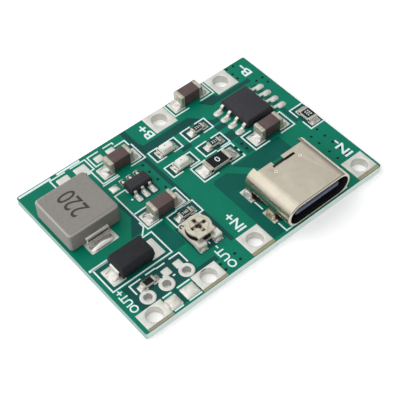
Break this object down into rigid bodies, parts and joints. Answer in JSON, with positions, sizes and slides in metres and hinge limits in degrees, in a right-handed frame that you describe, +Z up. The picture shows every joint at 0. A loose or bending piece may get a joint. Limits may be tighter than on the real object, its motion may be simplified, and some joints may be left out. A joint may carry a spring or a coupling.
{
  "type": "lithium battery charger module",
  "caption": "Small green circuit board with a charging socket, wire pads, a coil, chips, status lights and a cross-slot trimmer.",
  "frame": {"origin": "centre of the board's underside", "axes": "+X along the board's long side, to the right for someone facing the socket's mouth, +Y from the socket edge to the battery edge, +Z up out of the fitted side"},
  "size_m": [0.033, 0.023, 0.0042],
  "materials": {
    "solder_mask": "satin green mask over glass laminate",
    "tinned_pad": "satin tin",
    "solder": "bright solder",
    "tinned_lead": "satin tin plate",
    "moulded_ferrite": "matt warm grey",
    "chip_plastic": "matt charcoal",
    "brown_ceramic": "satin brown",
    "plated_end": "satin",
    "resistor_ceramic": "satin black coat on white ceramic",
    "light_base": "matt",
    "light_lens": "cloudy, pale",
    "white_ceramic": "matt white",
    "resistive_film": "matt black",
    "rotor_metal": "satin, warm",
    "nickel_steel": "satin nickel",
    "socket_plastic": "matt black",
    "gold_contact": "gold plate"
  },
  "bodies": {
    "module": {"circuit_board": "solder_mask", "terminal_battery_plus": "tinned_pad", "terminal_battery_minus": "tinned_pad", "terminal_input_plus": "tinned_pad", "terminal_input_minus": "tinned_pad", "terminal_output_plus": "tinned_pad", "terminal_output_minus": "tinned_pad", "option_pads": "tinned_pad", "socket_slot_linings": "tinned_pad", "component_pads": "tinned_pad", "solder_joints": "solder", "coil_body": "moulded_ferrite", "coil_clips": "tinned_lead", "diode_body": "chip_plastic", "diode_leads": "tinned_lead", "charger_chip_body": "chip_plastic", "charger_chip_leads": "tinned_lead", "boost_chip_body": "chip_plastic", "boost_chip_leads": "tinned_lead", "trimmer_base": "white_ceramic", "trimmer_track": "resistive_film", "trimmer_clips": "tinned_lead", "socket_shell": "nickel_steel", "socket_housing": "socket_plastic", "socket_tongue": "socket_plastic", "socket_contacts": "gold_contact", "capacitor_1_body": "brown_ceramic", "capacitor_1_ends": "plated_end", "capacitor_2_body": "brown_ceramic", "capacitor_2_ends": "plated_end", "capacitor_3_body": "brown_ceramic", "capacitor_3_ends": "plated_end", "capacitor_4_body": "brown_ceramic", "capacitor_4_ends": "plated_end", "resistor_1_body": "resistor_ceramic", "resistor_1_ends": "plated_end", "resistor_2_body": "resistor_ceramic", "resistor_2_ends": "plated_end", "resistor_3_body": "resistor_ceramic", "resistor_3_ends": "plated_end", "resistor_4_body": "resistor_ceramic", "resistor_4_ends": "plated_end", "resistor_5_body": "resistor_ceramic", "resistor_5_ends": "plated_end", "resistor_6_body": "resistor_ceramic", "resistor_6_ends": "plated_end", "light_1_base": "light_base", "light_1_lens": "light_lens", "light_1_ends": "plated_end", "light_2_base": "light_base", "light_2_lens": "light_lens", "light_2_ends": "plated_end"},
    "rotor": {"trimmer_rotor": "rotor_metal", "trimmer_rivet": "tinned_lead"}
  },
  "joints": [
    {"name": "trimmer_turn", "type": "hinge", "parent": "module", "child": "rotor", "pos_m": [-0.0046, -0.00535, 0.00167], "axis": [0, 0, 1], "range_deg": [-130, 130]}
  ]
}
